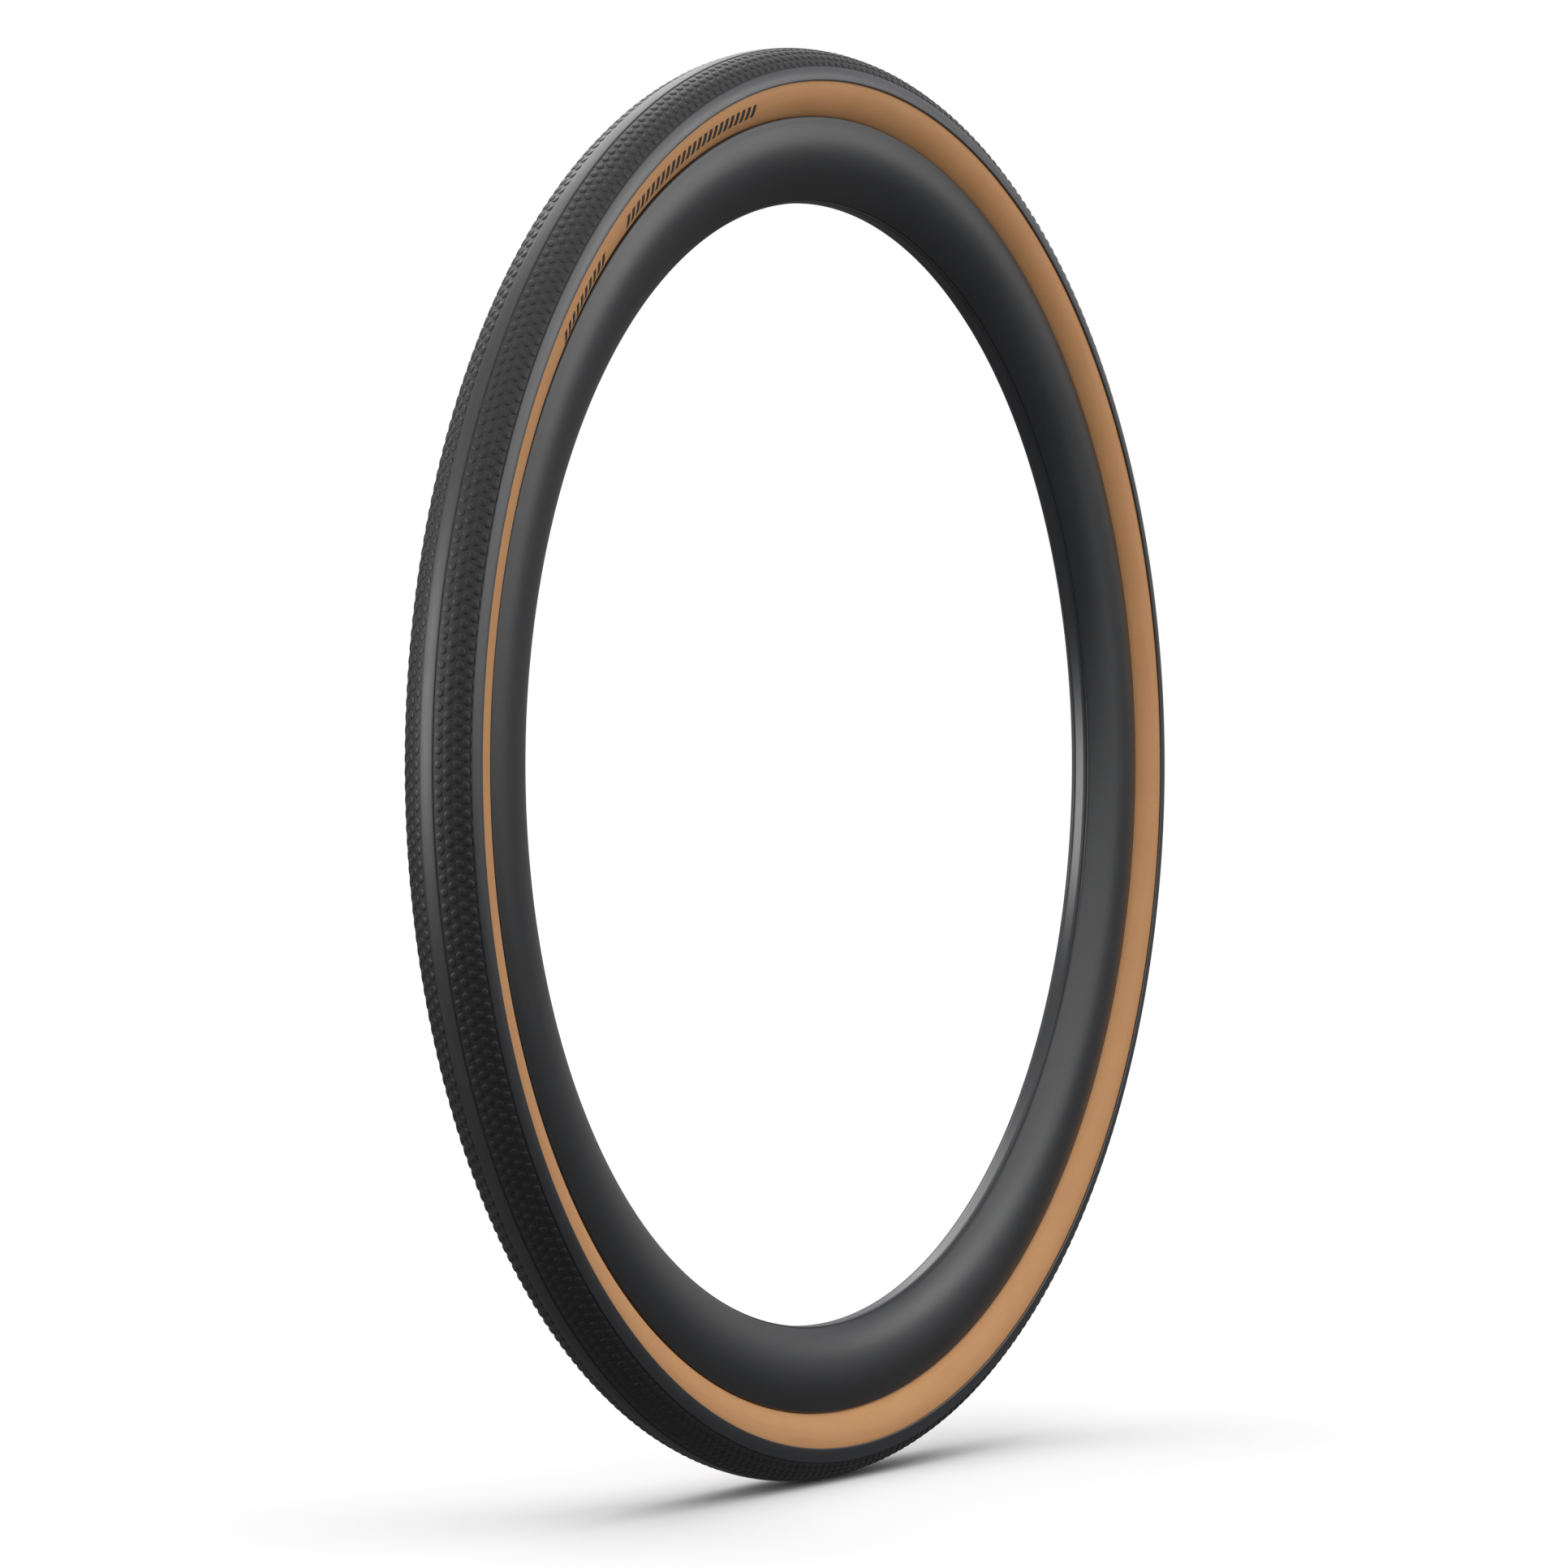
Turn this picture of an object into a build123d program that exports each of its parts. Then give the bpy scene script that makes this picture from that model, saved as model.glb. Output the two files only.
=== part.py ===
"""A 700x40C bicycle tyre with its inner tube, mounted on a deep hollow rim.

Origin at the wheel's centre, +Y along its axle line, +Z up. Everything round is a section turned
about the Y axis. A section is drawn with x as the distance from the axle line and y as the distance
from the wheel's middle plane.
"""

from build123d import *

import os
from math import sqrt

os.makedirs("parts", exist_ok=True)

# Rim, to the 622 mm bead seat of a 700C wheel
SEAT_RADIUS = 311.0
FLANGE_RADIUS = 317.3
NOSE_RADIUS = 275.4
CHANNEL_HALF = 10.0
FLANGE_HALF = 12.3
BULGE_RADIUS = 304.0
BULGE_HALF = 14.0
FLANGE_LIP = 1.0
FLANGE_ROUND = 0.9
NOSE_HALF = 3.4
NOSE_FILLET = 3.5
SIDE_WALL = 1.8
NOSE_WALL = 3.0
BED_WALL = 1.9
WELL_RADIUS = 307.0
WELL_HALF = 5.2
SHELF_HALF = 5.7
WELL_SIDE_WALL = 1.3
CAVITY_INSET = 0.8

# Carcass of the tyre: half an ellipse over the crown, and an arc down each side
CARCASS_CENTRE = 332.6
CARCASS_CROWN = 348.2
CARCASS_HALF = 17.9
SIDE_ARC_CENTRE = -0.2
PLY = 0.35
SKIN = 0.5
TOE_HALF = 5.8
BEAD_CORE_RADIUS = 1.55
BEAD_CORE_LIFT = 0.02
SKIN_TOP = 336.2
SKIN_FOOT = 316.8
BREAKER = 0.4
BREAKER_HALF = 14.0

# Tread, an ellipse over the carcass
TREAD_CENTRE = 334.3
TREAD_CROWN = 351.0
TREAD_HALF = 19.3
CENTRE_BAND_HALF = 3.6
KNURL_FOOT = 341.0
TREAD_FOOT = 334.0

# Tube and rim tape
TAPE = 0.5
TUBE_GAP = 0.2
TUBE_WALL = 0.9
TUBE_NECK_HALF = 5.1

# Valve, on the wheel's -X side. Its stations are distances from the axle line.
STEM_RADIUS = 3.0
STEM_BORE = 1.4
STEM_FLANGE_RADIUS = 4.0
STEM_FLANGE = 0.6
STEM_NECK = 0.6
STEM_TIP = 284.0
PATCH = 1.2
PATCH_HALF = 3.2
PATCH_LENGTH = 28.0
CORE_RADIUS = 2.1
CORE_FOOT = 290.0
CORE_HEAD_RADIUS = 2.6
CORE_HEAD_TOP = 282.2
PIN_RADIUS = 0.75
PIN_CLEARANCE = 0.05
PIN_TIP = 278.2
PIN_TAIL = 0.8
PIN_CHAMFER = 0.2
SEAL_RADIUS = 1.15
SEAL = 1.2
NUT_RADIUS = 2.1
NUT_HEIGHT = 2.6
NUT_REST_GAP = 0.05
NUT_GROOVES = 14
NUT_GROOVE_RADIUS = 0.16
VALVE_HOLE_RADIUS = 3.25
NOSE_HOLE_RADIUS = 4.1

# How far a cut runs past the face that it opens
OVERCUT = 1.0

SECTION_PLANES = {
    "left": Plane.XY,
    "right": Plane(origin=(0, 0, 0), x_dir=(1, 0, 0), z_dir=(0, 0, -1)),
}


def keep_between(low_radius, high_radius, low_side, high_side, mode=Mode.INTERSECT):
    """Keeps only the part of a section between two radii and two distances from the middle plane."""
    with Locations(((low_radius + high_radius) / 2, (low_side + high_side) / 2)):
        Rectangle(high_radius - low_radius, high_side - low_side, mode=mode)


def carcass_section(depth, wall, foot, mode=Mode.ADD):
    """The carcass's closed outline, depth under its outer face. Below the side arcs it runs straight in
    at wall from the middle plane, down to the radius foot."""
    half_width = CARCASS_HALF - depth
    arc_radius = half_width - SIDE_ARC_CENTRE
    corner = CARCASS_CENTRE - sqrt(arc_radius**2 - (wall - SIDE_ARC_CENTRE) ** 2)
    with BuildLine() as outline:
        crown_rise = CARCASS_CROWN - CARCASS_CENTRE - depth
        EllipticalCenterArc((CARCASS_CENTRE, 0), crown_rise, half_width, arc_size=90)
        side = TangentArc((CARCASS_CENTRE, half_width), (corner, wall), tangent=(-1, 0))
        Polyline(side @ 1, (foot, wall), (foot, 0))
        mirror(about=Plane.XZ)
    make_face(outline.edges(), mode=mode)


def rod(far, near, radius, mode=Mode.ADD):
    """A round bar on the valve's axis, between two distances from the axle line."""
    with BuildSketch(Plane.YZ.offset(-far)) as disc:
        Circle(radius)
    extrude(disc.sketch, amount=far - near, mode=mode)


def finish_piece(piece, name):
    """Labels a finished piece and writes it."""
    piece.part.label = name
    export_step(piece.part, f"parts/{name}.step")


# Faces between the layers, from the outside in: depth, distance of the straight wall, radius of the foot
SKIN_FACE = (-SKIN, CHANNEL_HALF, SEAT_RADIUS)
CARCASS_FACE = (0, CHANNEL_HALF - PLY, SEAT_RADIUS + PLY)
TURN_UP_FACE = (PLY, CHANNEL_HALF - 2 * PLY, SEAT_RADIUS + 2 * PLY)
INNER_PLY_FACE = (PLY, TOE_HALF + PLY, SEAT_RADIUS + 2 * PLY)
AIR_FACE = (2 * PLY, TOE_HALF, SEAT_RADIUS + 2 * PLY)

# ---------------------------------------------------------------- rim

with BuildPart() as rim:
    with BuildSketch() as rim_section:
        with BuildLine():
            nose = Line((NOSE_RADIUS, 0), (NOSE_RADIUS, NOSE_HALF))
            TangentArc((BULGE_RADIUS, BULGE_HALF), nose @ 1, tangent=(-1, 0))
            shoulder = TangentArc(
                (BULGE_RADIUS, BULGE_HALF), (FLANGE_RADIUS - FLANGE_LIP, FLANGE_HALF), tangent=(1, 0)
            )
            Polyline(
                shoulder @ 1,
                (FLANGE_RADIUS, FLANGE_HALF),
                (FLANGE_RADIUS, CHANNEL_HALF),
                (SEAT_RADIUS, CHANNEL_HALF),
                (SEAT_RADIUS, SHELF_HALF),
                (WELL_RADIUS, WELL_HALF),
                (WELL_RADIUS, 0),
            )
            mirror(about=Plane.XZ)
        make_face()
        flange_corners = rim_section.vertices().group_by(Axis.X)[-1]
        fillet(flange_corners, FLANGE_ROUND)
        fillet(rim_section.vertices().group_by(Axis.X)[0], NOSE_FILLET)
        with BuildLine():
            nose_wall_radius = NOSE_RADIUS + NOSE_WALL
            inner_nose = Line((nose_wall_radius, 0), (nose_wall_radius, NOSE_HALF - CAVITY_INSET))
            TangentArc((BULGE_RADIUS, BULGE_HALF - SIDE_WALL), inner_nose @ 1, tangent=(-1, 0))
            Polyline(
                (BULGE_RADIUS, BULGE_HALF - SIDE_WALL),
                (SEAT_RADIUS - BED_WALL, BULGE_HALF - SIDE_WALL - CAVITY_INSET),
                (SEAT_RADIUS - BED_WALL, SHELF_HALF + WELL_SIDE_WALL),
                (WELL_RADIUS - BED_WALL, WELL_HALF + WELL_SIDE_WALL),
                (WELL_RADIUS - BED_WALL, 0),
            )
            mirror(about=Plane.XZ)
        make_face(mode=Mode.SUBTRACT)
    revolve(axis=Axis.Y)
    rod(WELL_RADIUS + OVERCUT, WELL_RADIUS - BED_WALL - OVERCUT, VALVE_HOLE_RADIUS, mode=Mode.SUBTRACT)
    rod(NOSE_RADIUS + NOSE_WALL + OVERCUT, NOSE_RADIUS - OVERCUT, NOSE_HOLE_RADIUS, mode=Mode.SUBTRACT)
finish_piece(rim, "rim")

# ---------------------------------------------------------------- carcass of the tyre

with BuildPart() as casing_outer_ply:
    with BuildSketch():
        carcass_section(*CARCASS_FACE)
        carcass_section(*TURN_UP_FACE, mode=Mode.SUBTRACT)
        keep_between(SEAT_RADIUS, TURN_UP_FACE[2], -TOE_HALF, TOE_HALF, mode=Mode.SUBTRACT)
    revolve(axis=Axis.Y)
finish_piece(casing_outer_ply, "casing_outer_ply")

with BuildPart() as casing_inner_ply:
    with BuildSketch():
        carcass_section(*INNER_PLY_FACE)
        carcass_section(*AIR_FACE, mode=Mode.SUBTRACT)
    revolve(axis=Axis.Y)
finish_piece(casing_inner_ply, "casing_inner_ply")

bead_at = (
    SEAT_RADIUS + 2 * PLY + BEAD_CORE_RADIUS + BEAD_CORE_LIFT,
    (TURN_UP_FACE[1] + INNER_PLY_FACE[1]) / 2,
)

for side, section_plane in SECTION_PLANES.items():
    with BuildPart() as bead_core:
        with BuildSketch(section_plane):
            with Locations(bead_at):
                Circle(BEAD_CORE_RADIUS)
        revolve(axis=Axis.Y)
    finish_piece(bead_core, f"bead_core_{side}")

    with BuildPart() as bead_filler:
        with BuildSketch(section_plane):
            carcass_section(*TURN_UP_FACE)
            carcass_section(*INNER_PLY_FACE, mode=Mode.SUBTRACT)
            keep_between(SEAT_RADIUS, TREAD_CROWN, TOE_HALF, CARCASS_HALF)
            with Locations(bead_at):
                Circle(BEAD_CORE_RADIUS, mode=Mode.SUBTRACT)
        revolve(axis=Axis.Y)
    finish_piece(bead_filler, f"bead_filler_{side}")

    with BuildPart() as chafer:
        with BuildSketch(section_plane):
            carcass_section(*SKIN_FACE)
            carcass_section(*CARCASS_FACE, mode=Mode.SUBTRACT)
            keep_between(SEAT_RADIUS, SKIN_FOOT, TOE_HALF, CARCASS_HALF)
        revolve(axis=Axis.Y)
    finish_piece(chafer, f"chafer_{side}")

    with BuildPart() as sidewall:
        with BuildSketch(section_plane):
            carcass_section(*SKIN_FACE)
            carcass_section(*CARCASS_FACE, mode=Mode.SUBTRACT)
            keep_between(SKIN_FOOT, SKIN_TOP, TOE_HALF, CARCASS_HALF + OVERCUT)
        revolve(axis=Axis.Y)
    finish_piece(sidewall, f"sidewall_{side}")

with BuildPart() as breaker:
    with BuildSketch():
        carcass_section(-BREAKER, *CARCASS_FACE[1:])
        carcass_section(*CARCASS_FACE, mode=Mode.SUBTRACT)
        keep_between(CARCASS_CENTRE, TREAD_CROWN, -BREAKER_HALF, BREAKER_HALF)
    revolve(axis=Axis.Y)
finish_piece(breaker, "breaker")

# ---------------------------------------------------------------- tread


def tread_section():
    """The whole tread's section: an elliptical crown, less the carcass, breaker and sidewall skins."""
    with Locations((TREAD_CENTRE, 0)):
        Ellipse(TREAD_CROWN - TREAD_CENTRE, TREAD_HALF)
    carcass_section(*CARCASS_FACE, mode=Mode.SUBTRACT)
    with BuildSketch(mode=Mode.PRIVATE) as under_tread:
        carcass_section(-BREAKER, *CARCASS_FACE[1:])
        keep_between(CARCASS_CENTRE, TREAD_CROWN, -BREAKER_HALF, BREAKER_HALF)
    add(under_tread.sketch, mode=Mode.SUBTRACT)
    with BuildSketch(mode=Mode.PRIVATE) as under_edge:
        carcass_section(*SKIN_FACE)
        keep_between(SKIN_FOOT, SKIN_TOP, -TREAD_HALF, TREAD_HALF)
    add(under_edge.sketch, mode=Mode.SUBTRACT)


with BuildPart() as tread_centre:
    with BuildSketch():
        tread_section()
        keep_between(CARCASS_CENTRE, TREAD_CROWN, -CENTRE_BAND_HALF, CENTRE_BAND_HALF)
    revolve(axis=Axis.Y)
finish_piece(tread_centre, "tread_centre")

for side, section_plane in SECTION_PLANES.items():
    with BuildPart() as tread_side:
        with BuildSketch(section_plane):
            tread_section()
            keep_between(KNURL_FOOT, TREAD_CROWN, CENTRE_BAND_HALF, TREAD_HALF)
        revolve(axis=Axis.Y)
    finish_piece(tread_side, f"tread_side_{side}")

    with BuildPart() as tread_edge:
        with BuildSketch(section_plane):
            tread_section()
            keep_between(TREAD_FOOT, KNURL_FOOT, CENTRE_BAND_HALF, TREAD_HALF)
        revolve(axis=Axis.Y)
    finish_piece(tread_edge, f"tread_edge_{side}")

# ---------------------------------------------------------------- rim tape, tube and its patch

tube_depth = 2 * PLY + TUBE_GAP
tube_foot = WELL_RADIUS + TAPE + TUBE_GAP
patch_face = tube_foot + TUBE_WALL + PATCH
stem_foot = patch_face + STEM_NECK + STEM_FLANGE


with BuildPart() as rim_tape:
    with BuildSketch():
        keep_between(WELL_RADIUS, WELL_RADIUS + TAPE, -WELL_HALF, WELL_HALF, mode=Mode.ADD)
    revolve(axis=Axis.Y)
    rod(WELL_RADIUS + TAPE + OVERCUT, WELL_RADIUS - OVERCUT, VALVE_HOLE_RADIUS, mode=Mode.SUBTRACT)
finish_piece(rim_tape, "rim_tape")

with BuildPart() as inner_tube:
    with BuildSketch():
        carcass_section(tube_depth, TUBE_NECK_HALF, tube_foot)
        carcass_section(
            tube_depth + TUBE_WALL, TUBE_NECK_HALF - TUBE_WALL, tube_foot + TUBE_WALL, mode=Mode.SUBTRACT
        )
    revolve(axis=Axis.Y)
    rod(tube_foot + TUBE_WALL + OVERCUT, tube_foot - OVERCUT, STEM_RADIUS, mode=Mode.SUBTRACT)
finish_piece(inner_tube, "inner_tube")

with BuildPart() as valve_patch:
    with BuildSketch():
        keep_between(tube_foot + TUBE_WALL, patch_face, -PATCH_HALF, PATCH_HALF, mode=Mode.ADD)
    revolve(axis=Axis.Y)
    with Locations((-tube_foot, 0, 0)):
        Box(4 * PATCH_HALF, 4 * PATCH_HALF, PATCH_LENGTH, mode=Mode.INTERSECT)
    rod(patch_face + OVERCUT, tube_foot, STEM_RADIUS, mode=Mode.SUBTRACT)
finish_piece(valve_patch, "valve_patch")

# ---------------------------------------------------------------- valve

with BuildPart() as valve_stem:
    rod(stem_foot, STEM_TIP, STEM_RADIUS)
    rod(stem_foot, stem_foot - STEM_FLANGE, STEM_FLANGE_RADIUS)
    rod(stem_foot + OVERCUT, STEM_TIP, STEM_BORE, mode=Mode.SUBTRACT)
    rod(CORE_FOOT, STEM_TIP, CORE_RADIUS, mode=Mode.SUBTRACT)
finish_piece(valve_stem, "valve_stem")

with BuildPart() as valve_core:
    rod(CORE_FOOT, STEM_TIP, CORE_RADIUS)
    rod(STEM_TIP, CORE_HEAD_TOP, CORE_HEAD_RADIUS)
    rod(CORE_FOOT, CORE_HEAD_TOP, PIN_RADIUS + PIN_CLEARANCE, mode=Mode.SUBTRACT)
finish_piece(valve_core, "valve_core")

with BuildPart() as valve_pin:
    rod(CORE_FOOT + SEAL + PIN_TAIL, PIN_TIP, PIN_RADIUS)
    chamfer(valve_pin.edges().group_by(Axis.X)[-1], PIN_CHAMFER)
finish_piece(valve_pin, "valve_pin")

with BuildPart() as valve_seal:
    rod(CORE_FOOT + SEAL, CORE_FOOT, SEAL_RADIUS)
    rod(CORE_FOOT + SEAL, CORE_FOOT, PIN_RADIUS, mode=Mode.SUBTRACT)
finish_piece(valve_seal, "valve_seal")

nut_foot = CORE_HEAD_TOP - NUT_REST_GAP
with BuildPart() as valve_nut:
    rod(nut_foot, nut_foot - NUT_HEIGHT, NUT_RADIUS)
    with BuildSketch(Plane.YZ.offset(-nut_foot)):
        with PolarLocations(NUT_RADIUS, NUT_GROOVES):
            Circle(NUT_GROOVE_RADIUS)
    extrude(amount=NUT_HEIGHT, mode=Mode.SUBTRACT)
    rod(nut_foot, nut_foot - NUT_HEIGHT, PIN_RADIUS + PIN_CLEARANCE, mode=Mode.SUBTRACT)
finish_piece(valve_nut, "valve_nut")
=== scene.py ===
"""Looks of a 700x40C bicycle tire on a deep rim: knurled tread, tan sidewalls and a satin laminate rim.

Everything round is a closed outline turned about the Y axis. An outline is a list of (radius, side)
points in millimetres: the distance from the axle line and the distance from the wheel's middle plane.
"""

from math import atan2, cos, hypot, pi, radians, sin, tau

import bmesh
import bpy
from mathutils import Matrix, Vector


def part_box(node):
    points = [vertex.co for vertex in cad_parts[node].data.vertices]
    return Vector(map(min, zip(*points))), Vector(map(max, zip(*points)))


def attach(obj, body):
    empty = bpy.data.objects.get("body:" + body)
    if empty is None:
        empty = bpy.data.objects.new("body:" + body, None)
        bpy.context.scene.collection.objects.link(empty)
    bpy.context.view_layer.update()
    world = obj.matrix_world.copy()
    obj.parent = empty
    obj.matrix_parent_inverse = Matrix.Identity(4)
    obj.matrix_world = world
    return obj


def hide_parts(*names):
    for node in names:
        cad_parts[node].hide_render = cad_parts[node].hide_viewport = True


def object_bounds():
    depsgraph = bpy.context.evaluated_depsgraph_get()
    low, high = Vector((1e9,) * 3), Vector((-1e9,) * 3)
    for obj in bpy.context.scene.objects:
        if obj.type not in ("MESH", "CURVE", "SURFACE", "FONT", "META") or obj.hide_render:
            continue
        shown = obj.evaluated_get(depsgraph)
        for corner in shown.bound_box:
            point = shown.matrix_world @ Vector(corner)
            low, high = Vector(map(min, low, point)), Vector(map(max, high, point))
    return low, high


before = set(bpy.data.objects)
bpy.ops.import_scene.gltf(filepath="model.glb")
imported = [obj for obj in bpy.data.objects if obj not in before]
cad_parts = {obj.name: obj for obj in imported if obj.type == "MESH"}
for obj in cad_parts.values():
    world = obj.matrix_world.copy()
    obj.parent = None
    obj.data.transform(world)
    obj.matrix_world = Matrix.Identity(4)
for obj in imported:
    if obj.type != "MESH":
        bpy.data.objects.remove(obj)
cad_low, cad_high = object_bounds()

MM = 0.001
RING_STEPS = 720
SHARP_ANGLE = radians(38)
SIDES = {"left": 1, "right": -1}

# Tread: an ellipse, with the CAD's own size and centre
TREAD_CENTRE = 334.3
TREAD_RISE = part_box("tread_centre")[1].x / MM - TREAD_CENTRE
TREAD_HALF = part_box("tread_edge_left")[1].y / MM
BAND_END = 10.7
KNURL_END = 65.6
STRIP_START = 65.9
STRIP_END = 91.0
KNOB_HEIGHT = 0.48
TREAD_DEPTH = 2.1
STRIP_DEPTH = 0.85

# Rounded edges of the band and the strip, as (degrees, depth) points. The band's shoulder and the strip's lip
# are measured back from their ends, and the strip's head on from its start. The spans run between the edges.
BAND_SHOULDER = ((0.0, TREAD_DEPTH), (0.0, 0.34), (0.4, 0.16), (1.0, 0.06), (1.8, 0.01))
BAND_SPAN = (2.8 - BAND_END, BAND_END - 2.8)
BAND_UNDERSIDE = (BAND_END - 1, 1 - BAND_END)
STRIP_HEAD = ((0.0, 1.5), (0.0, 0.5), (0.5, 0.15), (1.4, 0.02))
STRIP_SPAN = (STRIP_START + 2.6, STRIP_END - 2.2)
STRIP_LIP = ((1.0, 0.03), (0.3, 0.16), (0.0, 0.4), (0.0, STRIP_DEPTH))
STRIP_UNDERSIDE = (STRIP_END - 2, STRIP_START + 4)

# Knobs: how many go round, and each row's place in degrees across the section, size, slant and stagger
KNOBS_ROUND = 346
KNOB_ROWS = (
    {"at": 18.2, "length": 4.7, "width": 3.5, "waist": 0.45, "slant": 0.0, "stagger": 0.00},
    {"at": 30.6, "length": 4.7, "width": 3.5, "waist": 0.45, "slant": 0.0, "stagger": 0.51},
    {"at": 44.4, "length": 4.6, "width": 3.7, "waist": 0.60, "slant": 0.25, "stagger": 0.02},
    {"at": 58.2, "length": 4.6, "width": 3.6, "waist": 0.60, "slant": 0.25, "stagger": 0.53},
)
# Outlines of a knob from its root to its top: depth under the tread's ellipse, and size
KNOB_LEVELS = ((KNOB_HEIGHT + 0.2, 1.0), (0.28, 0.92), (0.12, 0.76), (0.03, 0.50), (0.0, 0.25))

# Tan skin of the sidewalls: an ellipse over an arc
CARCASS_CENTRE = 332.6
SKIN_RISE = 16.1
SKIN_HALF = 18.4
SKIN_ARC_RADIUS = 18.6
SKIN_THICKNESS = 0.45
SKIN_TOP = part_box("sidewall_left")[1].x / MM
SKIN_FOOT = 316.8

# Rim
RIM_BULGE = (304.0, 14.0)
RIM_NOSE_RADIUS = 275.4
RIM_FLANGE_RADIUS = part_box("rim")[1].x / MM
RIM_SIDE_ARC = 43.88
RIM_SHOULDER_ARC = 45.35
NOSE_ROUND = 3.5
NOSE_FLAT_HALF = 1.75
FLANGE_HALF = 12.3
FLANGE_ROUND = 0.9
CHANNEL_HALF = 10.0
SEAT_RADIUS = 311.0
SHELF_HALF = 5.7
WELL_RADIUS = 307.0
WELL_HALF = 5.2
SEAM_AT = radians(42)
SEAM_SPREAD = radians(8)
SEAM_DEPTH = 0.45
CAVITY_ARC = 38.93
CAVITY_HALF = 12.2
CAVITY_NOSE = (278.4, 2.6)
CAVITY_BED = ((309.1, 11.4), (309.1, 7.0), (305.1, 6.5))

# Holes for the valve, on the -X side: how far in and out each goes from the axle line, and its radius
VALVE_HOLES = ((303.0, 309.0, 3.25), (272.0, 281.0, 4.1))
HOLE_STEPS = 64

# Plain printed bars on the sidewalls. Groups, pitch, width and slant are in degrees round the wheel, and
# the top and foot are angles of the section. The bars stand proud of the skin and are sunk into it.
BAR_GROUPS = ((106.5, 130.5), (134.5, 144.0))
BAR_PITCH = 0.95
BAR_WIDTH = 0.52
BAR_SLANT = 0.34
BAR_TOP = radians(102)
BAR_FOOT = radians(121)
BAR_LIFT = 0.07
BAR_SINK = 0.1
BAR_ROWS = 6

# Camera and floor: distances in metres, lens and sensor in millimetres. VIEW_BACK points to the camera.
VIEW_BACK = Vector((-0.8669, -0.4985, 0.0))
CAMERA_DISTANCE = 2.957
LENS = 137.9
SENSOR = 36.0
SHIFT_X = -0.024
SHIFT_Y = -0.0124
FLOOR_HALF = 12.0
FLOOR_GREY = 0.64

# The world's brightness from straight down (0) to straight up (1), and how much stronger its blue is
WORLD_STOPS = ((0.0, 0.17), (0.44, 0.13), (0.52, 0.30), (0.68, 0.82), (1.0, 0.62))
WORLD_BLUE = 1.02

# ---------------------------------------------------------------- meshes


def shade(mesh):
    """Makes a mesh smooth but for its sharp edges."""
    shape = bmesh.new()
    shape.from_mesh(mesh)
    for face in shape.faces:
        face.smooth = True
    for edge in shape.edges:
        edge.smooth = edge.calc_face_angle(0) < SHARP_ANGLE
    shape.to_mesh(mesh)
    shape.free()


def build(name, verts, faces):
    """A mesh object, in metres."""
    mesh = bpy.data.meshes.new(name)
    mesh.from_pydata([(x * MM, y * MM, z * MM) for x, y, z in verts], [], faces)
    shade(mesh)
    piece = bpy.data.objects.new(name, mesh)
    bpy.context.scene.collection.objects.link(piece)
    return piece


def on_ring(radius, side, angle):
    """A section point at an angle round the wheel: 0 is +X and a quarter turn is +Z."""
    return (radius * cos(angle), side, radius * sin(angle))


def turned(outlines, steps=RING_STEPS):
    """Vertices and faces of closed outlines turned about the axle. An anticlockwise outline faces out."""
    verts, faces = [], []
    for outline in outlines:
        first, size = len(verts), len(outline)
        for step in range(steps):
            verts += [on_ring(radius, side, tau * step / steps) for radius, side in outline]
        for step in range(steps):
            here = first + step * size
            there = first + (step + 1) % steps * size
            for i in range(size):
                j = (i + 1) % size
                faces.append((here + i, here + j, there + j, there + i))
    return verts, faces


def mirrored(outline, sign):
    """The same outline on the other side of the middle plane, still anticlockwise."""
    return outline if sign > 0 else [(radius, -side) for radius, side in reversed(outline)]


def arc(centre, radius, start, end, count):
    """Points of an arc, angles in radians from the radial direction."""
    return [
        (centre[0] + radius * cos(start + (end - start) * k / count),
         centre[1] + radius * sin(start + (end - start) * k / count))
        for k in range(count + 1)
    ]


# ---------------------------------------------------------------- tread


def hull(angle, depth=0.0):
    """A point of the tread's outer ellipse, or depth under it. The angle is in degrees from the crown."""
    turn = radians(angle)
    across, out = cos(turn) / TREAD_RISE, sin(turn) / TREAD_HALF
    size = hypot(across, out)
    return (
        TREAD_CENTRE + TREAD_RISE * cos(turn) - depth * across / size,
        TREAD_HALF * sin(turn) - depth * out / size,
    )


def hull_span(start, end, depth, count):
    """Points along the tread's ellipse, or depth under it, between two angles in degrees."""
    return [hull(start + (end - start) * k / count, depth) for k in range(count + 1)]


def band_outline():
    """The smooth band round the crown, with rounded shoulders."""
    shoulder = [(BAND_END - back, depth) for back, depth in BAND_SHOULDER]
    low = [hull(-angle, depth) for angle, depth in shoulder]
    high = [hull(angle, depth) for angle, depth in reversed(shoulder)]
    return low + hull_span(*BAND_SPAN, 0, 14) + high + hull_span(*BAND_UNDERSIDE, TREAD_DEPTH, 6)


def knurl_base_outline():
    """The floor that the knobs of one side stand on."""
    floor = hull_span(BAND_END, KNURL_END, KNOB_HEIGHT, 26)
    return floor + hull_span(KNURL_END, BAND_END, TREAD_DEPTH, 12)


def knob_plan(row):
    """Corners of a knob's footprint: distances along the ring and across it, before its slant."""
    half_length, half_width = row["length"] / 2, row["width"] / 2
    waist = half_length * row["waist"]
    return [
        (half_length, 0), (waist, half_width), (-waist, half_width),
        (-half_length, 0), (-waist, -half_width), (waist, -half_width),
    ]


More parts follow.
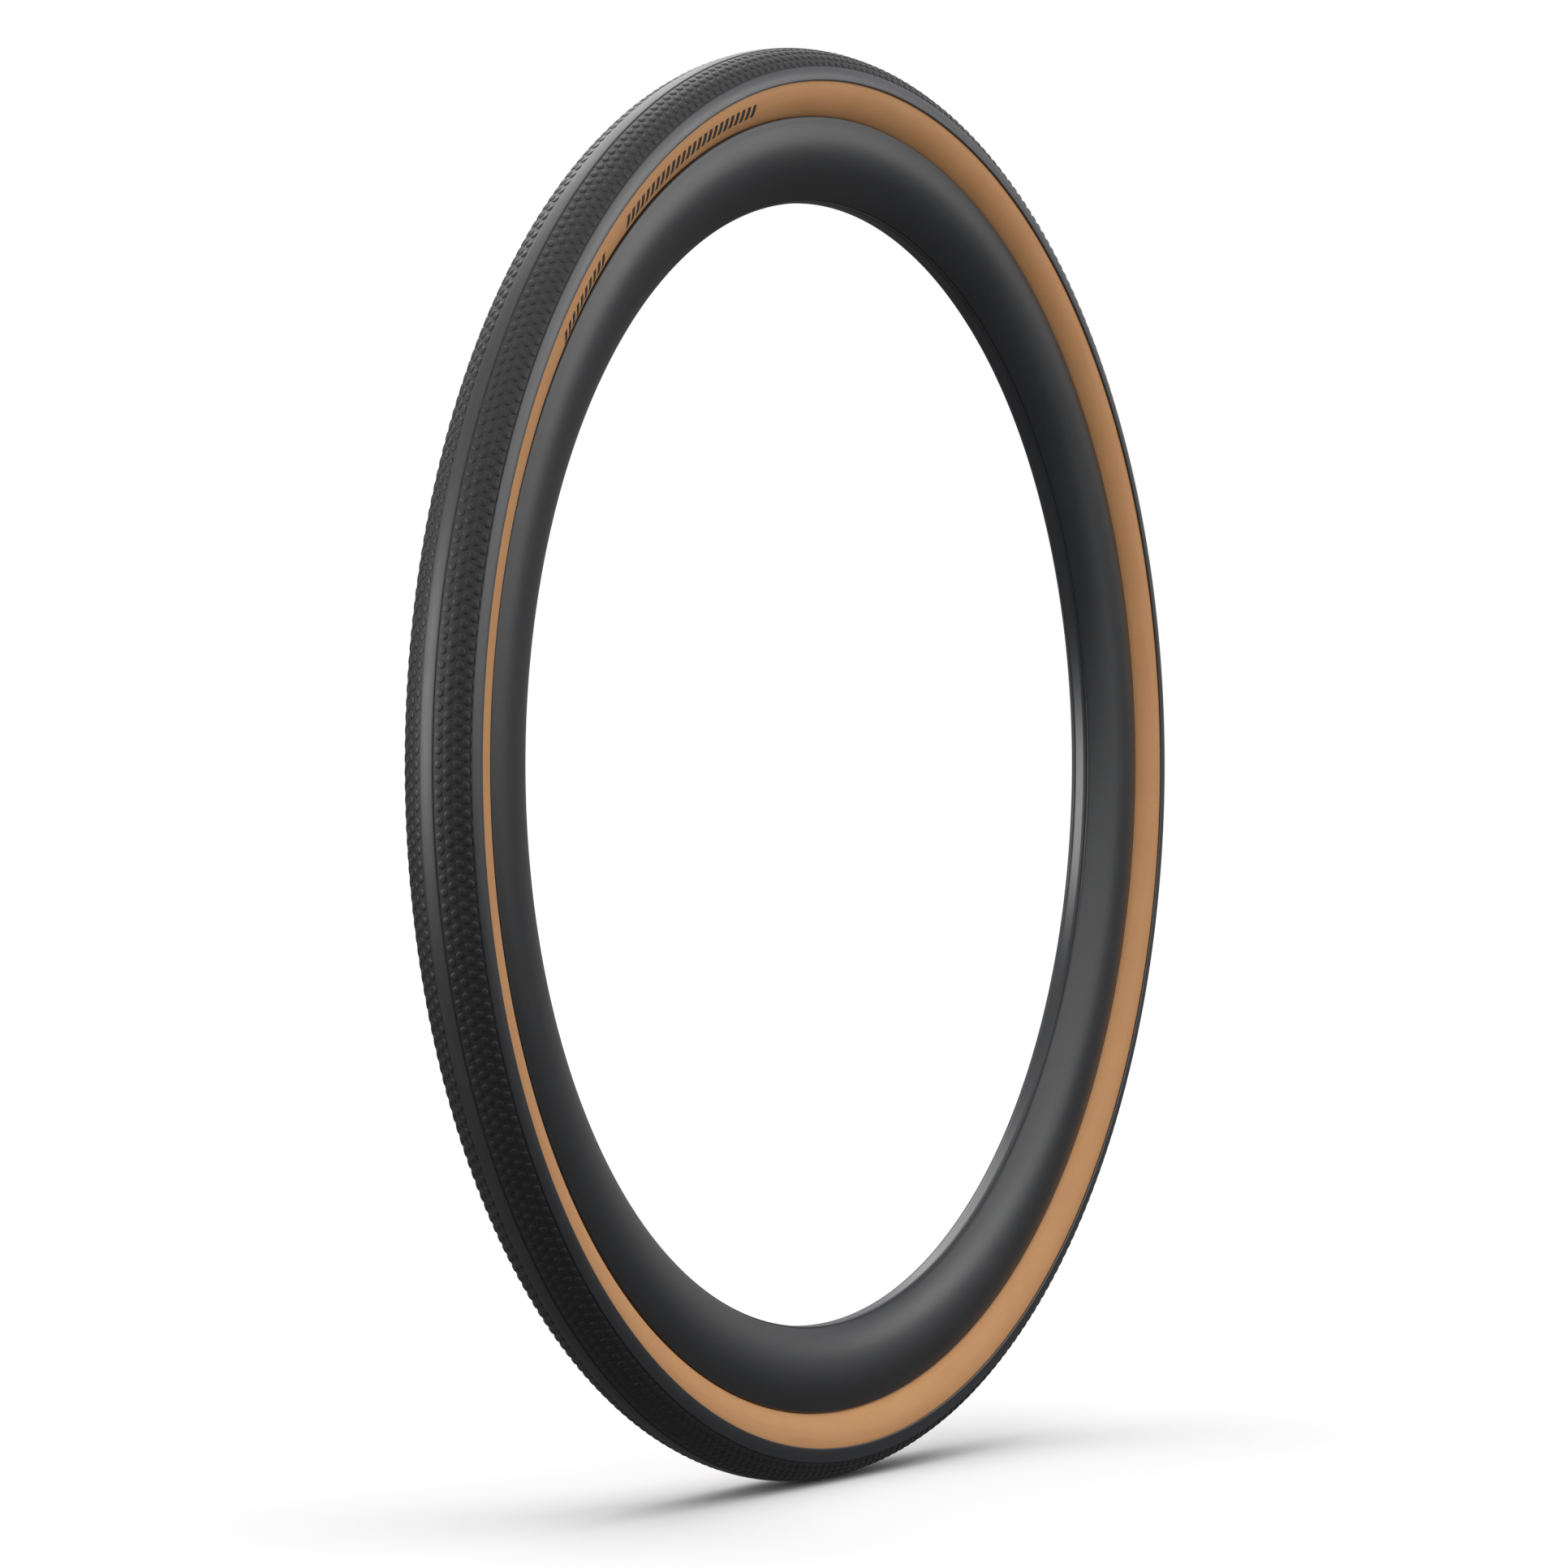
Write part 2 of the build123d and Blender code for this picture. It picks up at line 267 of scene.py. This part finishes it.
def add_knobs(verts, faces, sign):
    """Adds one side's knobs, each a closed block with a bevelled top that follows the tread's curve."""
    pitch = tau / KNOBS_ROUND
    for row in KNOB_ROWS:
        here = hull(row["at"])
        step = hull(row["at"] + 1)
        degree = hypot(step[0] - here[0], step[1] - here[1])
        plan = knob_plan(row)
        for k in range(KNOBS_ROUND):
            middle = (k + row["stagger"]) * pitch
            first = len(verts)
            for depth, scale in KNOB_LEVELS:
                for along, across in plan:
                    radius, side = hull(row["at"] + across * scale / degree, depth)
                    lean = (along + row["slant"] * across) * scale
                    verts.append(on_ring(radius, sign * side, middle + lean / here[0]))
            size = len(plan)
            rings = [[first + level * size + i for i in range(size)] for level in range(len(KNOB_LEVELS))]
            if sign < 0:
                rings = [ring[::-1] for ring in rings]
            faces.append(tuple(rings[0]))
            for low, high in zip(rings, rings[1:]):
                faces += [
                    (low[i], high[i], high[(i + 1) % size], low[(i + 1) % size]) for i in range(size)
                ]
            faces.append(tuple(reversed(rings[-1])))


def strip_outline():
    """The smooth strip at the tread's edge: a groove wall at its top and a rounded lip at its foot."""
    head = [hull(STRIP_START + past, depth) for past, depth in STRIP_HEAD]
    lip = [hull(STRIP_END - back, depth) for back, depth in STRIP_LIP]
    return head + hull_span(*STRIP_SPAN, 0, 20) + lip + hull_span(*STRIP_UNDERSIDE, STRIP_DEPTH, 10)


# ---------------------------------------------------------------- sidewalls


def skin_point(turn, lift=0.0):
    """A point of the tan skin's face, or lift outside it. The angle is in radians from the crown:
    up to a quarter turn it is an ellipse, and past that an arc down to the rim."""
    if turn <= pi / 2:
        return (
            CARCASS_CENTRE + (SKIN_RISE + lift) * cos(turn),
            (SKIN_HALF + lift) * sin(turn),
        )
    drop = SKIN_HALF - SKIN_ARC_RADIUS
    return (
        CARCASS_CENTRE + (SKIN_ARC_RADIUS + lift) * cos(turn),
        drop + (SKIN_ARC_RADIUS + lift) * sin(turn),
    )


def skin_outline():
    """The tan skin of one side, from under the tread's edge down to the rim's channel."""
    top = pi / 2 - atan2(SKIN_TOP - CARCASS_CENTRE, SKIN_RISE)
    foot = pi / 2 + atan2(CARCASS_CENTRE - SKIN_FOOT, CHANNEL_HALF + SKIN_ARC_RADIUS - SKIN_HALF)
    count = 44
    turns = [top + (foot - top) * k / count for k in range(count + 1)]
    face = [skin_point(turn) for turn in turns]
    back = [skin_point(turn, -SKIN_THICKNESS) for turn in reversed(turns)]
    return face + back


# ---------------------------------------------------------------- rim


def rim_side_outline():
    """The rim's outer face on its left side, from the middle of its well to the middle of its nose."""
    flange_in = (RIM_FLANGE_RADIUS - FLANGE_ROUND, CHANNEL_HALF + FLANGE_ROUND)
    flange_out = (RIM_FLANGE_RADIUS - FLANGE_ROUND, FLANGE_HALF - FLANGE_ROUND)
    bed = [(WELL_RADIUS, 0), (WELL_RADIUS, WELL_HALF)]
    bed += [(SEAT_RADIUS, SHELF_HALF), (SEAT_RADIUS, CHANNEL_HALF)]
    flange = arc(flange_in, FLANGE_ROUND, -pi / 2, 0, 5) + arc(flange_out, FLANGE_ROUND, 0, pi / 2, 5)
    shoulder_centre = (RIM_BULGE[0], RIM_BULGE[1] - RIM_SHOULDER_ARC)
    shoulder_end = pi / 2 - atan2(flange_out[0] - RIM_BULGE[0], RIM_SHOULDER_ARC)
    shoulder = arc(shoulder_centre, RIM_SHOULDER_ARC, shoulder_end, pi / 2, 10)
    side_centre = (RIM_BULGE[0], RIM_BULGE[1] - RIM_SIDE_ARC)
    nose_centre = (RIM_NOSE_RADIUS + NOSE_ROUND, NOSE_FLAT_HALF)
    meet = atan2(nose_centre[1] - side_centre[1], nose_centre[0] - side_centre[0])
    side = arc(side_centre, RIM_SIDE_ARC, pi / 2, meet, 26)
    return bed + flange + shoulder[1:] + side[1:] + nose_round(nose_centre, meet) + [(RIM_NOSE_RADIUS, 0)]


def nose_round(centre, start):
    """The rounded corner of the nose, with the seam groove that runs round it."""
    count = 28
    points = []
    for k in range(1, count + 1):
        turn = start + (pi - start) * k / count
        off = (pi - turn - SEAM_AT) / SEAM_SPREAD
        depth = SEAM_DEPTH * max(0.0, 1 - off * off)
        radius = NOSE_ROUND - depth
        points.append((centre[0] + radius * cos(turn), centre[1] + radius * sin(turn)))
    return points


def both_sides(half):
    """A whole outline from the half that runs between two points on the middle plane."""
    return half + [(radius, -side) for radius, side in reversed(half[1:-1])]


def cavity_outline():
    """The hollow inside the rim, clockwise, because it faces in."""
    side_centre = (RIM_BULGE[0], CAVITY_HALF - CAVITY_ARC)
    meet = atan2(CAVITY_NOSE[1] - side_centre[1], CAVITY_NOSE[0] - side_centre[0])
    half = [(CAVITY_BED[-1][0], 0), *reversed(CAVITY_BED)]
    half += arc(side_centre, CAVITY_ARC, pi / 2, meet, 20) + [(CAVITY_NOSE[0], 0)]
    return both_sides(half)[::-1]


def drill(piece, near, far, radius):
    """Cuts a round hole through the -X side of a piece, between two distances from the axle line."""
    count = HOLE_STEPS
    circle = [(radius * cos(tau * k / count), radius * sin(tau * k / count)) for k in range(count)]
    verts = [(-far, y, z) for y, z in circle] + [(-near, y, z) for y, z in circle]
    faces = [(k, (k + 1) % count, count + (k + 1) % count, count + k) for k in range(count)]
    faces += [tuple(reversed(range(count))), tuple(range(count, 2 * count))]
    drill_bit = build("drill_bit", verts, faces)
    cut = piece.modifiers.new("hole", "BOOLEAN")
    cut.operation = "DIFFERENCE"
    cut.solver = "EXACT"
    cut.object = drill_bit
    drilled = bpy.data.meshes.new_from_object(piece.evaluated_get(bpy.context.evaluated_depsgraph_get()))
    piece.modifiers.remove(cut)
    shade(drilled)
    piece.data = drilled
    bpy.data.objects.remove(drill_bit)


# ---------------------------------------------------------------- pieces


def make_tread():
    band = build("tread_band", *turned([band_outline()]))
    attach(band, "wheel")
    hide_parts("tread_centre")
    band.data.materials.append(band_rubber())
    knurl_painted_shade_material, strip_material = knurl_rubber_painted_shade(), strip_rubber()
    for name, sign in SIDES.items():
        verts, faces = turned([mirrored(knurl_base_outline(), sign)])
        add_knobs(verts, faces, sign)
        knurl = build(f"tread_knurl_{name}", verts, faces)
        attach(knurl, "wheel")
        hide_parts(f"tread_side_{name}")
        knurl.data.materials.append(knurl_painted_shade_material)

        strip = build(f"tread_strip_{name}", *turned([mirrored(strip_outline(), sign)]))
        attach(strip, "wheel")
        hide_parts(f"tread_edge_{name}")
        strip.data.materials.append(strip_material)


def make_sidewalls():
    material = tan_skin()
    for name, sign in SIDES.items():
        skin = build(f"skin_{name}", *turned([mirrored(skin_outline(), sign)]))
        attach(skin, "wheel")
        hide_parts(f"sidewall_{name}")
        skin.data.materials.append(material)


def make_marks():
    """Two groups of plain slanted bars, printed on each sidewall."""
    material = mark_ink()
    for name, sign in SIDES.items():
        verts, faces = [], []
        for start, end in BAR_GROUPS:
            for k in range(int((end - start) / BAR_PITCH)):
                add_bar(verts, faces, start + k * BAR_PITCH, sign)
        marks = build(f"sidewall_bars_{name}", verts, faces)
        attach(marks, "wheel")
        marks.data.materials.append(material)


def add_bar(verts, faces, at, sign):
    """Adds one closed bar that follows the skin, starting at an angle in degrees round the wheel."""
    first = len(verts)
    for row in range(BAR_ROWS + 1):
        part = row / BAR_ROWS
        turn = BAR_TOP + (BAR_FOOT - BAR_TOP) * part
        start = radians(at + BAR_SLANT * part)
        end = start + radians(BAR_WIDTH)
        for lift, angle in ((-BAR_SINK, start), (BAR_LIFT, start), (BAR_LIFT, end), (-BAR_SINK, end)):
            radius, side = skin_point(turn, lift)
            verts.append(on_ring(radius, sign * side, angle))
    made = [(first, first + 1, first + 2, first + 3)]
    for row in range(BAR_ROWS):
        here, there = first + 4 * row, first + 4 * row + 4
        made += [(here + i, there + i, there + (i + 1) % 4, here + (i + 1) % 4) for i in range(4)]
    last = first + 4 * BAR_ROWS
    made.append((last + 3, last + 2, last + 1, last))
    faces += made if sign > 0 else [face[::-1] for face in made]


def make_rim():
    shell = build("rim_shell", *turned([both_sides(rim_side_outline()), cavity_outline()]))
    for near, far, radius in VALVE_HOLES:
        drill(shell, near, far, radius)
    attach(shell, "wheel")
    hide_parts("rim")
    shell.data.materials.append(laminate())


# ---------------------------------------------------------------- materials

# How much the distance from the middle plane moves the streaks, against the distance from the axle line
STREAK_SIDE = 1.7
TOOL_MARK_PITCH = 0.0005


class Shader:
    """A material's nodes, with short ways to add what the materials share. Lengths in it are in metres."""

    def __init__(self, name, roughness, specular=0.5):
        self.material = bpy.data.materials.new(name)
        self.material.use_nodes = True
        self.tree = self.material.node_tree
        self.surface = self.tree.nodes["Principled BSDF"]
        self.surface.inputs["Roughness"].default_value = roughness
        self.surface.inputs["Specular IOR Level"].default_value = specular
        self.place = self.node("ShaderNodeTexCoord").outputs["Object"]
        split = self.node("ShaderNodeSeparateXYZ")
        self.tree.links.new(self.place, split.inputs[0])
        self.x, self.side, self.z = split.outputs
        across = self.maths("MULTIPLY", self.x, self.x)
        up = self.maths("MULTIPLY", self.z, self.z)
        self.radius = self.maths("SQRT", self.maths("ADD", across, up))

    def node(self, kind, **settings):
        made = self.tree.nodes.new(kind)
        for key, value in settings.items():
            setattr(made, key, value)
        return made

    def feed(self, socket, value):
        """Links a value's socket, or writes a plain number or colour."""
        if isinstance(value, bpy.types.NodeSocket):
            self.tree.links.new(value, socket)
        else:
            socket.default_value = value

    def maths(self, operation, *values):
        made = self.node("ShaderNodeMath", operation=operation)
        for socket, value in zip(made.inputs, values):
            self.feed(socket, value)
        return made.outputs[0]

    def noise(self, scale, detail=2.0, vector=None):
        """Noise from 0 to 1. The scale is in cells to a metre unless a vector is given."""
        made = self.node("ShaderNodeTexNoise")
        self.feed(made.inputs["Vector"], vector or self.place)
        made.inputs["Scale"].default_value = scale
        made.inputs["Detail"].default_value = detail
        return made.outputs["Fac"]

    def streaks(self, along, across, detail=2.0):
        """Noise drawn out round the wheel: along is cells to a radian, across is cells to a metre."""
        joined = self.node("ShaderNodeCombineXYZ")
        for socket, value in zip(joined.inputs, (self.x, self.z)):
            self.feed(socket, self.maths("MULTIPLY", self.maths("DIVIDE", value, self.radius), along))
        spread = self.maths("ADD", self.radius, self.maths("MULTIPLY", self.side, STREAK_SIDE))
        self.feed(joined.inputs[2], self.maths("MULTIPLY", spread, across))
        return self.noise(1.0, detail, joined.outputs[0])

    def lines(self, round_count, pitch, lean=1.0):
        """Fine slanted lines, from 0 to 1: how many go round, and their pitch along the radius."""
        turn = self.maths("ARCTAN2", self.z, self.x)
        phase = self.maths("MULTIPLY", turn, float(round_count))
        drop = self.maths("MULTIPLY", self.radius, lean * tau / pitch)
        wave = self.maths("SINE", self.maths("ADD", phase, drop))
        return self.maths("MULTIPLY_ADD", wave, 0.5, 0.5)

    def between(self, factor, low, high):
        """A value from 0 to 1 as a number from low to high."""
        return self.maths("MULTIPLY_ADD", factor, high - low, low)

    def mix(self, factor, first, second):
        made = self.node("ShaderNodeMix", data_type="RGBA")
        self.feed(made.inputs["Factor"], factor)
        colours = [s for s in made.inputs if s.type == "RGBA"]
        self.feed(colours[0], first)
        self.feed(colours[1], second)
        return [s for s in made.outputs if s.type == "RGBA"][0]

    def colour(self, value):
        self.feed(self.surface.inputs["Base Color"], value)

    def roughness(self, value):
        self.feed(self.surface.inputs["Roughness"], value)

    def bump(self, height, distance, strength=1.0):
        """Adds a bump of that height in metres, over any that is there already."""
        made = self.node("ShaderNodeBump")
        made.inputs["Distance"].default_value = distance
        made.inputs["Strength"].default_value = strength
        self.feed(made.inputs["Height"], height)
        before = self.surface.inputs["Normal"]
        if before.is_linked:
            self.tree.links.new(before.links[0].from_socket, made.inputs["Normal"])
        self.tree.links.new(made.outputs[0], before)


def rubber(name, dark, light, roughness, grain=0.00003, specular=0.5):
    """Moulded rubber: soft mottling, streaks round the wheel and a fine grain."""
    shader = Shader(name, roughness, specular)
    mottle = shader.noise(35.0, 4.0)
    streak = shader.streaks(14.0, 420.0)
    blend = shader.maths("MULTIPLY_ADD", streak, 0.5, shader.maths("MULTIPLY", mottle, 0.5))
    shader.colour(shader.mix(blend, (*dark, 1), (*light, 1)))
    shader.roughness(shader.between(blend, roughness - 0.08, roughness + 0.08))
    shader.bump(shader.noise(2600.0, 3.0), grain, 0.6)
    return shader.material


def band_rubber():
    return rubber("band_rubber", (0.014, 0.014, 0.015), (0.022, 0.022, 0.023), 0.46, specular=0.42)


# Painted shade: the knurl is the same tread rubber as the band, but its colour is set darker to stand in for
# the shade in its recesses and on flanks that face away from the lights.
def knurl_rubber_painted_shade():
    return rubber("knurl_rubber_painted_shade", (0.008, 0.008, 0.009), (0.015, 0.015, 0.016), 0.5, specular=0.36)


def mark_ink():
    """Matt black print, a little worn."""
    return rubber("mark_ink", (0.012, 0.011, 0.010), (0.030, 0.026, 0.022), 0.6, specular=0.3)


def strip_rubber():
    return rubber("strip_rubber", (0.015, 0.016, 0.018), (0.024, 0.025, 0.028), 0.33, specular=0.62)


def tan_skin():
    """Tan rubber over slanted cords, with faint streaks round the wheel."""
    shader = Shader("tan_skin", 0.62, 0.25)
    streak = shader.streaks(10.0, 900.0, 3.0)
    mottle = shader.noise(60.0, 4.0)
    blend = shader.maths("MULTIPLY_ADD", streak, 0.6, shader.maths("MULTIPLY", mottle, 0.4))
    skin = shader.mix(blend, (0.44, 0.215, 0.085, 1), (0.58, 0.305, 0.135, 1))
    threads = shader.lines(2200, 0.00095)
    shader.colour(shader.mix(shader.maths("MULTIPLY", threads, 0.18), skin, (0.32, 0.15, 0.055, 1)))
    shader.roughness(shader.between(mottle, 0.55, 0.7))
    shader.bump(threads, 0.00004, 0.5)
    shader.bump(shader.noise(1500.0, 2.0), 0.00003, 0.4)
    return shader.material


def laminate():
    """Satin dark laminate: long fibre streaks under a smooth skin."""
    shader = Shader("rim_laminate", 0.33, 0.42)
    fibre = shader.streaks(30.0, 1500.0, 3.0)
    cloud = shader.noise(12.0, 3.0)
    blend = shader.maths("MULTIPLY_ADD", fibre, 0.55, shader.maths("MULTIPLY", cloud, 0.45))
    shader.colour(shader.mix(blend, (0.011, 0.0115, 0.0125, 1), (0.020, 0.021, 0.023, 1)))
    shader.roughness(shader.between(cloud, 0.29, 0.37))
    shader.bump(shader.noise(900.0, 2.0), 0.00001, 0.3)
    return shader.material


def woven(name, dark, light, count, pitch, roughness=0.75):
    """Cloth of two crossing sets of slanted cords, set in rubber."""
    shader = Shader(name, roughness, 0.3)
    weave = shader.maths("MULTIPLY", shader.lines(count, pitch), shader.lines(count, pitch, -1.0))
    blend = shader.maths("MULTIPLY_ADD", weave, 0.7, shader.maths("MULTIPLY", shader.noise(90.0, 3.0), 0.3))
    shader.colour(shader.mix(blend, (*dark, 1), (*light, 1)))
    shader.roughness(shader.between(blend, roughness - 0.1, roughness + 0.1))
    shader.bump(weave, 0.00012)
    return shader.material


def corded(name, dark, light, count, pitch):
    """One set of slanted cords, set in rubber."""
    shader = Shader(name, 0.6, 0.35)
    cords = shader.lines(count, pitch)
    blend = shader.maths("MULTIPLY_ADD", cords, 0.7, shader.maths("MULTIPLY", shader.noise(70.0, 3.0), 0.3))
    shader.colour(shader.mix(blend, (*dark, 1), (*light, 1)))
    shader.roughness(shader.between(blend, 0.5, 0.7))
    shader.bump(cords, 0.00015)
    return shader.material


def brass():
    """Turned brass: fine tool marks round the valve's axis and a light tarnish."""
    shader = Shader("brass", 0.28)
    shader.surface.inputs["Metallic"].default_value = 1.0
    tarnish = shader.noise(700.0, 4.0)
    shader.colour(shader.mix(tarnish, (0.80, 0.58, 0.26, 1), (0.58, 0.40, 0.18, 1)))
    shader.roughness(shader.between(tarnish, 0.2, 0.4))
    marks = shader.maths("SINE", shader.maths("MULTIPLY", shader.x, tau / TOOL_MARK_PITCH))
    shader.bump(marks, 0.00004, 0.5)
    return shader.material


def tape():
    """Smooth blue tape with fibre streaks round the wheel."""
    shader = Shader("rim_tape", 0.4)
    fibre = shader.streaks(60.0, 2500.0, 3.0)
    shader.colour(shader.mix(fibre, (0.05, 0.12, 0.34, 1), (0.10, 0.20, 0.48, 1)))
    shader.roughness(shader.between(fibre, 0.32, 0.5))
    shader.bump(fibre, 0.00002, 0.6)
    return shader.material


def dress_inner_nodes():
    """Gives every CAD node that stays its own finish."""
    black = rubber("black_rubber", (0.012, 0.012, 0.012), (0.026, 0.026, 0.026), 0.65)
    butyl = rubber("butyl", (0.016, 0.016, 0.017), (0.034, 0.034, 0.035), 0.5, 0.00005)
    cords = corded("casing_cords", (0.26, 0.15, 0.07), (0.52, 0.36, 0.20), 1900, 0.0011)
    chafer = woven("chafer_weave", (0.012, 0.012, 0.012), (0.06, 0.06, 0.06), 1500, 0.0013)
    aramid = woven("bead_cords", (0.42, 0.30, 0.06), (0.75, 0.60, 0.20), 1200, 0.0016)
    finishes = {
        "breaker": woven("breaker_weave", (0.45, 0.36, 0.14), (0.74, 0.66, 0.36), 1400, 0.0015),
        "casing_outer_ply": cords, "casing_inner_ply": cords,
        "bead_core_left": aramid, "bead_core_right": aramid,
        "bead_filler_left": black, "bead_filler_right": black,
        "chafer_left": chafer, "chafer_right": chafer,
        "inner_tube": butyl, "valve_patch": butyl, "rim_tape": tape(),
        "valve_seal": black,
    }
    metal = brass()
    finishes.update({f"valve_{part}": metal for part in ("stem", "core", "pin", "nut")})
    for node, material in finishes.items():
        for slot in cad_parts[node].material_slots:
            slot.material = material


# ---------------------------------------------------------------- floor, light and camera


def make_floor():
    """A matt floor under the object. It throws no light back on it, and isn't seen in it."""
    mesh = bpy.data.meshes.new("floor")
    corners = [(x * FLOOR_HALF, y * FLOOR_HALF, cad_low.z) for x, y in ((-1, -1), (1, -1), (1, 1), (-1, 1))]
    mesh.from_pydata(corners, [], [(0, 1, 2, 3)])
    floor = bpy.data.objects.new("floor", mesh)
    bpy.context.scene.collection.objects.link(floor)
    floor.visible_diffuse = False
    floor.visible_glossy = False
    material = bpy.data.materials.new("floor")
    material.use_nodes = True
    surface = material.node_tree.nodes["Principled BSDF"]
    surface.inputs["Base Color"].default_value = (FLOOR_GREY, FLOOR_GREY, FLOOR_GREY, 1)
    surface.inputs["Roughness"].default_value = 1.0
    surface.inputs["Specular IOR Level"].default_value = 0.0
    mesh.materials.append(material)
    return floor


def make_world():
    """White where the camera looks past the object, and a gradient, bright above, for its light."""
    world = bpy.data.worlds.new("studio")
    bpy.context.scene.world = world
    world.use_nodes = True
    nodes, links = world.node_tree.nodes, world.node_tree.links
    background = nodes["Background"]
    place = nodes.new("ShaderNodeTexCoord")
    split = nodes.new("ShaderNodeSeparateXYZ")
    ramp = nodes.new("ShaderNodeValToRGB")
    height = nodes.new("ShaderNodeMapRange")
    path = nodes.new("ShaderNodeLightPath")
    pick = nodes.new("ShaderNodeMix")
    pick.data_type = "RGBA"
    links.new(place.outputs["Generated"], split.inputs[0])
    height.inputs["From Min"].default_value = -1.0
    links.new(split.outputs[2], height.inputs["Value"])
    links.new(height.outputs[0], ramp.inputs[0])
    for position, _ in WORLD_STOPS[1:-1]:
        ramp.color_ramp.elements.new(position)
    for element, (position, level) in zip(ramp.color_ramp.elements, WORLD_STOPS):
        element.position = position
        element.color = (level, level, level * WORLD_BLUE, 1)
    links.new(path.outputs["Is Camera Ray"], pick.inputs["Factor"])
    colours = [s for s in pick.inputs if s.type == "RGBA"]
    links.new(ramp.outputs[0], colours[0])
    colours[1].default_value = (1, 1, 1, 1)
    links.new([s for s in pick.outputs if s.type == "RGBA"][0], background.inputs["Color"])


def make_panel(name, direction, distance, width, height, radiance):
    """A soft rectangular light that faces the wheel's centre. At a radiance of 1 it is as bright as white."""
    data = bpy.data.lights.new(name, "AREA")
    data.shape = "RECTANGLE"
    data.size = width
    data.size_y = height
    data.energy = radiance * pi * width * height
    panel = bpy.data.objects.new(name, data)
    bpy.context.scene.collection.objects.link(panel)
    panel.location = Vector(direction).normalized() * distance
    panel.rotation_euler = (-panel.location).to_track_quat("-Z", "Y").to_euler()
    panel.visible_camera = False
    return panel


def link_only(light, objects, state):
    """Lets a light reach only these objects (INCLUDE), or everything but them (EXCLUDE)."""
    group = bpy.data.collections.new(f"{light.name}_{state.lower()}")
    for obj in objects:
        group.objects.link(obj)
    for entry in group.collection_objects:
        entry.light_linking.link_state = state
    light.light_linking.receiver_collection = group


def make_sun(name, strength, spread, tilt):
    """A soft light from far overhead. The spread is in degrees, and the tilt is its rotation in radians."""
    data = bpy.data.lights.new(name, "SUN")
    data.energy = strength
    data.angle = radians(spread)
    sun = bpy.data.objects.new(name, data)
    bpy.context.scene.collection.objects.link(sun)
    sun.rotation_euler = tilt
    return sun


def make_lights(floor):
    """Panels shape the object's highlights. They leave the floor to the suns, which light it evenly."""
    make_sun("overhead", 1.0, 70, (radians(6), radians(-8), 0))
    for name, tilt in (("floor_light_left", 11), ("floor_light_right", -11)):
        link_only(make_sun(name, 1.1, 55, (radians(tilt), 0, 0)), [floor], "INCLUDE")
    panels = (
        make_panel("left_strip", (-0.867, 0.50, 0.14), 3.0, 1.1, 1.8, 12.5),
        make_panel("left_front", (-0.97, -0.10, 0.20), 3.0, 0.8, 1.6, 3.0),
        make_panel("back_top", (0.38, 0.50, 0.78), 3.2, 2.2, 2.2, 3.6),
        make_panel("right_box", (0.730, -0.610, 0.32), 3.2, 1.2, 0.8, 2.5),
        make_panel("front_fill", (0.235, -0.875, 0.34), 3.2, 3.6, 2.6, 1.65),
    )
    for panel in panels:
        link_only(panel, [floor], "EXCLUDE")


def make_camera():
    """A long lens at axle height. It sees the wheel's right side and its -X end."""
    data = bpy.data.cameras.new("camera")
    data.lens = LENS
    data.sensor_width = SENSOR
    data.shift_x = SHIFT_X
    data.shift_y = SHIFT_Y
    data.clip_start = 0.1
    data.clip_end = 100
    camera = bpy.data.objects.new("camera", data)
    bpy.context.scene.collection.objects.link(camera)
    camera.location = VIEW_BACK * CAMERA_DISTANCE
    camera.rotation_euler = (-VIEW_BACK).to_track_quat("-Z", "Y").to_euler()
    bpy.context.scene.camera = camera
    bpy.context.scene.view_settings.view_transform = "Standard"


make_tread()
make_sidewalls()
make_marks()
make_rim()
dress_inner_nodes()
studio_floor = make_floor()
make_world()
make_lights(studio_floor)
make_camera()
